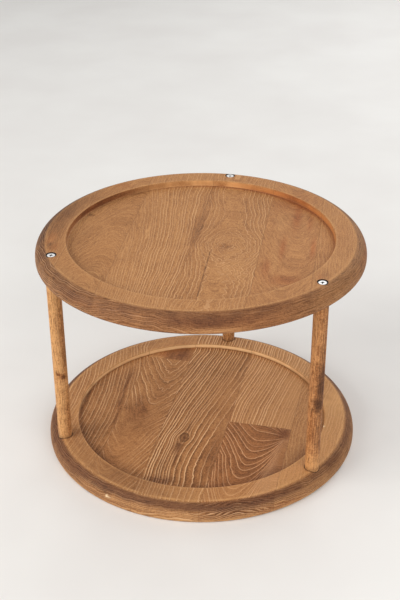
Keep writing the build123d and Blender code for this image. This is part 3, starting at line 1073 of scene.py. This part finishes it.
def dress_stave(mesh, node, tier, across):
    """Writes the wood's figure and finish, with painted light and shade, onto a stave, then brings it to
    metres.
    """
    board = BOARDS[node]
    finish = TrayFinishAndShading(vertex_places(mesh), tier)
    side, rim, w = finish.side, finish.rim, finish.z
    u, v = across_along(finish.x, finish.y, tier)
    tone, red, contrast = board.looks(u, v)
    on_wall = (finish.out < FACE_REACH) & (finish.up > FACE_REACH)
    contrast = contrast * np.where(on_wall, WALL_LINES, 1.0)
    contrast = contrast * (1.0 - (1.0 - np.interp(v, RIM_LINE_STATIONS, RIM_LINES[tier])) * rim)
    tone = tone * (1.0 - RIM_EVENNESS * rim) + RIM_TONE[tier] * rim
    tone = tone * (1.0 - EDGE_EVENNESS * side)
    red = red * (1.0 - RIM_EVENNESS * rim - EDGE_EVENNESS * side) + finish.flush()
    face_stain = board.soaked(u, v) * (w > TRAY_THICKNESS / 2) * (1.0 - (1.0 - RIM_STAIN[tier]) * rim)
    stain_and_shade = np.maximum(finish.stain_and_shade(), face_stain)

    # the round edge has lines of its own, which run along it
    edge = side > 0.5
    contrast = np.where(edge, np.interp(finish.rightward, EDGE_LINE_STATIONS, EDGE_LINES[tier]), contrast)
    edge_count, turn = finish.edge_rings()
    tone, red, stain_and_shade, contrast = blotted(EDGE_BLOTS[tier], turn, w, tone, red, stain_and_shade, contrast, cover=side)
    rings = np.where(edge, edge_count, board.rings(u, v, w))
    along = np.where(edge, turn, v + SEED_SHIFT * board.seed)
    density = np.where(edge, 1.0 / EDGE_LINE_PITCH, board.density(u, v, w))
    seam = np.min([abs(u - limit) for limit in across if limit is not None], axis=0)
    write_wood(
        mesh,
        grain=(rings, along, w),
        board=(tone, np.clip(red, 0.0, 1.0), np.clip(contrast, 0.0, 1.0)),
        finish=(np.maximum(stain_and_shade, 0.0), finish.wear_and_highlight(), seam),
        figure=(density, board.crack_distance(u, v), side),
        marks=(finish.hole, finish.chips(), WALL_LIGHT_STRENGTH[tier] * finish.bare),
    )
    finish_mesh(mesh)


def place_piece(name, mesh, material, node):
    """Adds a piece that stands for a CAD node."""
    piece = add_object(name, mesh)
    mesh.materials.clear()
    mesh.materials.append(material)
    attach(piece, "root")
    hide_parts(node)


def tray_pieces(tier, material):
    """All staves of one tray."""
    blank = mesh_of(turned(tray_section(RECESS_DEPTH[tier]), RING_STEPS, TRAY_BASE[tier]), f"{tier}_tray")
    tray = bored(blank, hole_cutters(tier))
    sides = [None, *SEAMS[tier], None]
    for number, across in enumerate(zip(sides, sides[1:]), start=1):
        node = f"{tier}_tray_stave_{number}"
        lengths = {node: (None, None)}
        if f"{node}_front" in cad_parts:
            joint = FRONT_JOINT if across[0] > 0 else BACK_JOINT
            lengths = {f"{node}_front": (None, joint), f"{node}_back": (joint, None)}
        for length_node, along in lengths.items():
            mesh = stave_mesh(tray, f"{length_node}_wood", STAVE_LEAN[tier], across, along)
            dress_stave(mesh, length_node, tier, across)
            place_piece(f"{length_node}_wood", mesh, material, length_node)


# painted shade where a post enters the lower tray
POST_FOOT_SHADE, POST_FOOT_SHADE_HEIGHT = 0.5, 3.0
# patches here lie at (arc to the right of the front, height)
POST_BOARDS = {
    "left": Board(
        ((0, 1), (200, -2)), 2.6, contrast=0.4, tone=0.36, sway=0.4, seed=31,
        blots=(
            (0.8, 89, 2.4, 1.8, -0.6, 0.5, -0.3), (4.6, 86, 3, 2.8, -0.75, 0.5, -0.3),
            # the long patches 8 and 7.5 mm right of the front are painted shade on the post's right side
            (1.8, 95.5, 3, 3.4, 0.35, -0.1, 0), (8, 128, 3.5, 30, -0.45, 0.2, 0),
            (7.5, 38, 3.5, 30, -0.3, 0.2, 0),
        ),
        stains=((5.6, 86.5, 3, 2.6, 0.5), (9, 105, 3, 14, 0.5)),
    ),
    "right": Board(
        ((0, -2), (200, 2)), 2.6, contrast=0.36, tone=0.0, red=0.36, sway=0.4, seed=32,
        blots=(
            # the patches at -4.5 mm are painted light on the post's left side, the one at 8 mm painted shade
            # on its right
            (-4.5, 105, 5, 130, 0.26, 0, 0), (-4.5, 170, 5, 34, 0.3, 0, 0), (8, 110, 5, 90, -0.06, -0.1, 0),
            (0, 100, 40, 46, -0.09, 0.08, 0), (5.5, 112, 4.5, 20, -0.34, -0.1, -0.2),
            (3.5, 90, 5, 7, -0.44, -0.2, -0.3), (-2, 62, 3.5, 18, -0.15, 0.1, 0),
            (0, 20, 40, 14, 0.42, -0.2, 0),
        ),
        stains=((3.5, 90, 5, 7, 0.85), (5.5, 112, 4.5, 20, 0.7), (8, 60, 4, 24, 0.3)),
    ),
    "rear": Board(
        ((0, 0), (200, 2)), 2.6, contrast=0.4, tone=0.1, sway=0.4, seed=33,
    ),
}


def post_piece(name, material):
    """A sanded dowel with softened ends."""
    low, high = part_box(f"{name}_post")
    bottom, height = low.z / MM, high.z / MM - low.z / MM
    ends = POST_RADIUS - POST_END_ROUND
    section = [(0.0, 0.0)]
    section += arc((ends, POST_END_ROUND), POST_END_ROUND, -QUARTER, 0.0, POST_END_STEPS)
    section += straight((POST_RADIUS, POST_END_ROUND), (POST_RADIUS, height - POST_END_ROUND), FACE_STEP)[1:]
    section += arc((ends, height - POST_END_ROUND), POST_END_ROUND, 0.0, QUARTER, POST_END_STEPS)
    section.append((0.0, height))
    mesh = mesh_of(turned(section, ROUND_STEPS, bottom), f"{name}_post_wood")
    board = POST_BOARDS[name]
    x, y, z = vertex_places(mesh).T
    inside = (x, z, y + TRAY_THICKNESS)
    outside = (POST_RADIUS * np.arctan2(x, -y), z)
    # painted shade where the post enters the lower tray
    foot_shade = POST_FOOT_SHADE * bell(z - bottom - SOCKET_DEPTH, POST_FOOT_SHADE_HEIGHT)
    nothing, far = np.zeros(len(z)), np.full(len(z), FAR)
    write_wood(
        mesh,
        grain=(board.rings(*inside), z + SEED_SHIFT * board.seed, y),
        board=board.looks(*outside),
        finish=(np.maximum(foot_shade, board.soaked(*outside)), nothing, far),
        figure=(board.density(*inside), far, nothing),
        marks=(far, nothing, nothing),
    )
    mesh.transform(Matrix.Translation((POST_PLACES[name].x, POST_PLACES[name].y, 0.0)))
    finish_mesh(mesh)
    place_piece(f"{name}_post_wood", mesh, material, f"{name}_post")


# worn-pale wood, also the colour of the painted highlight on the recess walls
WORN = colour(220, 168, 112)
TRAY_WOOD = {"dark": colour(114, 74, 43), "middle": colour(163, 112, 68), "light": colour(190, 139, 89)}
POST_WOOD = {"dark": colour(114, 73, 42), "middle": colour(170, 117, 70), "light": colour(210, 156, 100)}
# the recess-wall colours are painted light: warm bounce light on the upper tray, a pale highlight on the
# lower
FINISHES = tiers(
    {"bare": colour(212, 132, 68), "line": colour(222, 174, 126), "stained": (0.36, 0.33, 0.39, 1.0)},
    {"bare": colour(251, 207, 153), "line": colour(234, 188, 140), "stained": (0.39, 0.327, 0.340, 1.0)},
)
LINE_WIDTH = tiers(0.70, 0.95)
for tier, shades in FINISHES.items():
    tray_wood = wood_material(
        f"{tier}_tray_stained_wood", **TRAY_WOOD, **shades, worn=WORN, line_width=LINE_WIDTH[tier])
    tray_pieces(tier, tray_wood)
post_wood = wood_material(
    "post_stained_wood", **POST_WOOD, **FINISHES["upper"], worn=WORN, pore=0.80, pore_size=1.6,
    pore_length=2.4, mottle=0.85, mottle_scale=150.0, grit=1.5, grit_scale=560.0)
for name in POST_PLACES:
    post_piece(name, post_wood)
HEAD_FACES = (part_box("upper_screw_left")[1].z / MM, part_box("lower_screw_left")[0].z / MM)
zinc = zinc_material(HEAD_FACES, POST_PLACES.values())
for node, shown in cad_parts.items():
    if "screw" in node:
        shown.data.materials.clear()
        shown.data.materials.append(zinc)


# Stage, light and camera, in metres
FLOOR_REACH = 6.0
FLOOR_CELLS = 8
STAND_MIDDLE = (0.0, 0.0, 0.1)
LAMP_SIZE = 1.4
# name, place, power, tint
LAMPS = (
    ("key", (-1.36, -1.02, 1.16), 27.0, (1.0, 0.98, 0.95)),
    ("fill", (1.2, -1.2, 1.16), 14.0, (1.0, 0.99, 0.97)),
    ("back", (0.5, 1.6, 1.1), 9.0, (1.0, 1.0, 1.0)),
)
SKY_COLOUR = (1.0, 0.99, 0.97, 1.0)
SKY_STRENGTH = 0.55


def add_floor():
    bm = bmesh.new()
    bmesh.ops.create_grid(bm, x_segments=FLOOR_CELLS, y_segments=FLOOR_CELLS, size=FLOOR_REACH)
    floor = add_object("floor", mesh_of(bm, "floor"))
    floor.data.materials.append(floor_material())


def add_lamp(name, place, power, tint):
    lamp = bpy.data.lights.new(name, "AREA")
    lamp.shape = "SQUARE"
    lamp.size = LAMP_SIZE
    lamp.energy = power
    lamp.color = tint
    holder = add_object(name, lamp)
    holder.location = place
    holder.rotation_euler = (Vector(STAND_MIDDLE) - Vector(place)).to_track_quat("-Z", "Y").to_euler()


def add_world():
    world = bpy.data.worlds.new("studio")
    bpy.context.scene.world = world
    world.use_nodes = True
    background = world.node_tree.nodes["Background"]
    background.inputs["Color"].default_value = SKY_COLOUR
    background.inputs["Strength"].default_value = SKY_STRENGTH


def add_camera():
    camera = bpy.data.cameras.new("camera")
    camera.lens = CAMERA_LENS
    camera.sensor_width = CAMERA_SENSOR
    holder = add_object("camera", camera)
    across, along = CAMERA_REACH * math.sin(CAMERA_AZIMUTH), -CAMERA_REACH * math.cos(CAMERA_AZIMUTH)
    holder.location = (across * MM, along * MM, CAMERA_HEIGHT * MM)
    aim = Matrix.Rotation(CAMERA_AZIMUTH + CAMERA_SWING, 3, "Z")
    aim = aim @ Matrix.Rotation(QUARTER - CAMERA_PITCH, 3, "X") @ Matrix.Rotation(CAMERA_ROLL, 3, "Z")
    holder.rotation_euler = aim.to_euler()
    bpy.context.scene.camera = holder


add_floor()
for lamp_row in LAMPS:
    add_lamp(*lamp_row)
add_world()
add_camera()
bpy.context.scene.view_settings.view_transform = "Standard"
